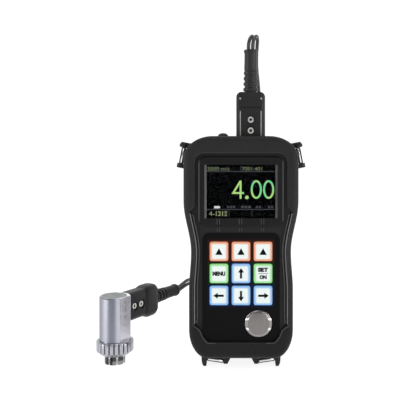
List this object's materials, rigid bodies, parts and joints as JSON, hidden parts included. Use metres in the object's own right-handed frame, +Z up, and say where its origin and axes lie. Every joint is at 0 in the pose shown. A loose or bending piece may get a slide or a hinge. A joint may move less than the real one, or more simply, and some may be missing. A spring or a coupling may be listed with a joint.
{
  "type": "ultrasonic thickness gauge",
  "caption": "Hand-held ultrasonic thickness gauge in a black rubber boot, with a display, a lit keypad, a calibration disc, and a twin-element probe on a coiled two-cable lead.",
  "frame": {"origin": "on the standing surface, midway between the soles of the two lower strap lugs, in the middle of the gauge's depth", "axes": "+X to the right as seen from the front, +Y to the back, +Z up along the gauge"},
  "size_m": [0.1623, 0.1556, 0.2557],
  "materials": {
    "boot_rubber": "fine matt grain",
    "casing": "moulded satin",
    "seal_rubber": "matt",
    "bezel": "gloss",
    "display_glass": "clear",
    "lcd": "display",
    "circuit_board": "solder resist",
    "keypad_film": "gloss film",
    "silicone": "matt",
    "calibration_steel": "satin",
    "connector_metal": "nickel plated",
    "tray_plastic": "moulded",
    "cell_jacket": "printed jacket",
    "screw_steel": "satin",
    "lug_plastic": "satin",
    "ring_wire": "bright",
    "orange_key": "satin silicone",
    "green_key": "satin silicone",
    "blue_key": "satin silicone",
    "cap_rubber": "matt",
    "tie_plastic": "matt",
    "plug_plastic": "satin",
    "contact_gold": "gold plated",
    "relief_rubber": "satin",
    "cable_jacket": "satin",
    "probe_metal": "satin",
    "probe_disc": "satin",
    "knurl_metal": "satin",
    "nose_metal": "dark bright",
    "delay_plastic": "polished",
    "barrier_cork": "cork",
    "element_ceramic": "ceramic and resin"
  },
  "bodies": {
    "gauge": {"protective_boot": "boot_rubber", "front_casing": "casing", "rear_casing": "casing", "casing_seal": "seal_rubber", "display_bezel": "bezel", "display_window": "display_glass", "lcd_module": "lcd", "main_board": "circuit_board", "keypad_panel": "keypad_film", "key_mat": "silicone", "calibration_disc": "calibration_steel", "gauge_sockets": "connector_metal", "data_port": "connector_metal", "battery_tray": "tray_plastic", "battery_cells": "cell_jacket", "battery_contacts": "connector_metal", "battery_door": "casing", "door_screws": "screw_steel", "casing_screws": "screw_steel", "upper_strap_lugs": "lug_plastic", "lower_strap_lugs": "lug_plastic", "gauge_plug_front_shell": "plug_plastic", "gauge_plug_rear_shell": "plug_plastic", "gauge_plug_contacts": "contact_gold", "gauge_plug_screws": "screw_steel", "gauge_plug_relief": "relief_rubber", "probe_plug_front_shell": "plug_plastic", "probe_plug_rear_shell": "plug_plastic", "probe_plug_contacts": "contact_gold", "probe_plug_screws": "screw_steel", "probe_plug_relief": "relief_rubber", "left_cable_drop": "cable_jacket", "right_cable_drop": "cable_jacket", "left_cable_coil": "cable_jacket", "right_cable_coil": "cable_jacket", "left_cable_rise": "cable_jacket", "right_cable_rise": "cable_jacket", "lead_tie": "tie_plastic"},
    "upper_left_ring": {"upper_left_ring": "ring_wire"},
    "upper_right_ring": {"upper_right_ring": "ring_wire"},
    "lower_left_ring": {"lower_left_ring": "ring_wire"},
    "lower_right_ring": {"lower_right_ring": "ring_wire"},
    "soft_key_left": {"soft_key_left": "orange_key"},
    "soft_key_middle": {"soft_key_middle": "orange_key"},
    "soft_key_right": {"soft_key_right": "orange_key"},
    "menu_key": {"menu_key": "green_key"},
    "up_key": {"up_key": "blue_key"},
    "power_key": {"power_key": "green_key"},
    "left_key": {"left_key": "blue_key"},
    "down_key": {"down_key": "blue_key"},
    "right_key": {"right_key": "blue_key"},
    "port_cap": {"port_cap": "cap_rubber"},
    "probe": {"probe_body": "probe_metal", "probe_top_disc": "probe_disc", "probe_nose": "nose_metal", "probe_delay_blocks": "delay_plastic", "probe_sound_barrier": "barrier_cork", "probe_elements": "element_ceramic", "probe_sockets": "connector_metal"},
    "probe_knurled_ring": {"probe_knurled_ring": "knurl_metal"}
  },
  "joints": [
    {"name": "upper_right_ring_swing", "type": "hinge", "parent": "gauge", "child": "upper_right_ring", "pos_m": [0.0455, 0, 0.1603], "axis": [0.1908, 0, -0.9816], "range_deg": [0, 186]},
    {"name": "upper_left_ring_swing", "type": "hinge", "parent": "gauge", "child": "upper_left_ring", "pos_m": [-0.0455, 0, 0.1603], "axis": [0.1908, 0, 0.9816], "range_deg": [0, 186]},
    {"name": "lower_right_ring_swing", "type": "hinge", "parent": "gauge", "child": "lower_right_ring", "pos_m": [0.0196, -0.008, 0.004], "axis": [-0.9903, 0, -0.1392], "range_deg": [-16, 168]},
    {"name": "lower_left_ring_swing", "type": "hinge", "parent": "gauge", "child": "lower_left_ring", "pos_m": [-0.0196, -0.008, 0.004], "axis": [-0.9903, 0, 0.1392], "range_deg": [-16, 168]},
    {"name": "soft_key_left_press", "type": "slide", "parent": "gauge", "child": "soft_key_left", "axis": [0, 1, 0], "range_m": [0, 0.0005], "stiffness_N_per_m": 1500, "springref_m": -0.0004},
    {"name": "soft_key_middle_press", "type": "slide", "parent": "gauge", "child": "soft_key_middle", "axis": [0, 1, 0], "range_m": [0, 0.0005], "stiffness_N_per_m": 1500, "springref_m": -0.0004},
    {"name": "soft_key_right_press", "type": "slide", "parent": "gauge", "child": "soft_key_right", "axis": [0, 1, 0], "range_m": [0, 0.0005], "stiffness_N_per_m": 1500, "springref_m": -0.0004},
    {"name": "menu_key_press", "type": "slide", "parent": "gauge", "child": "menu_key", "axis": [0, 1, 0], "range_m": [0, 0.0005], "stiffness_N_per_m": 1500, "springref_m": -0.0004},
    {"name": "up_key_press", "type": "slide", "parent": "gauge", "child": "up_key", "axis": [0, 1, 0], "range_m": [0, 0.0005], "stiffness_N_per_m": 1500, "springref_m": -0.0004},
    {"name": "power_key_press", "type": "slide", "parent": "gauge", "child": "power_key", "axis": [0, 1, 0], "range_m": [0, 0.0005], "stiffness_N_per_m": 1500, "springref_m": -0.0004},
    {"name": "left_key_press", "type": "slide", "parent": "gauge", "child": "left_key", "axis": [0, 1, 0], "range_m": [0, 0.0005], "stiffness_N_per_m": 1500, "springref_m": -0.0004},
    {"name": "down_key_press", "type": "slide", "parent": "gauge", "child": "down_key", "axis": [0, 1, 0], "range_m": [0, 0.0005], "stiffness_N_per_m": 1500, "springref_m": -0.0004},
    {"name": "right_key_press", "type": "slide", "parent": "gauge", "child": "right_key", "axis": [0, 1, 0], "range_m": [0, 0.0005], "stiffness_N_per_m": 1500, "springref_m": -0.0004},
    {"name": "port_cap_pull", "type": "slide", "parent": "gauge", "child": "port_cap", "axis": [0, 0, 1], "range_m": [0, 0.012]},
    {"name": "probe_unplug", "type": "slide", "parent": "gauge", "child": "probe", "axis": [-0.5, -0.866, 0], "range_m": [0, 0.014]},
    {"name": "knurled_ring_turn", "type": "hinge", "parent": "probe", "child": "probe_knurled_ring", "pos_m": [-0.0978, -0.002, 0.0137], "axis": [0, 0, 1], "range_deg": [0, 270]}
  ]
}
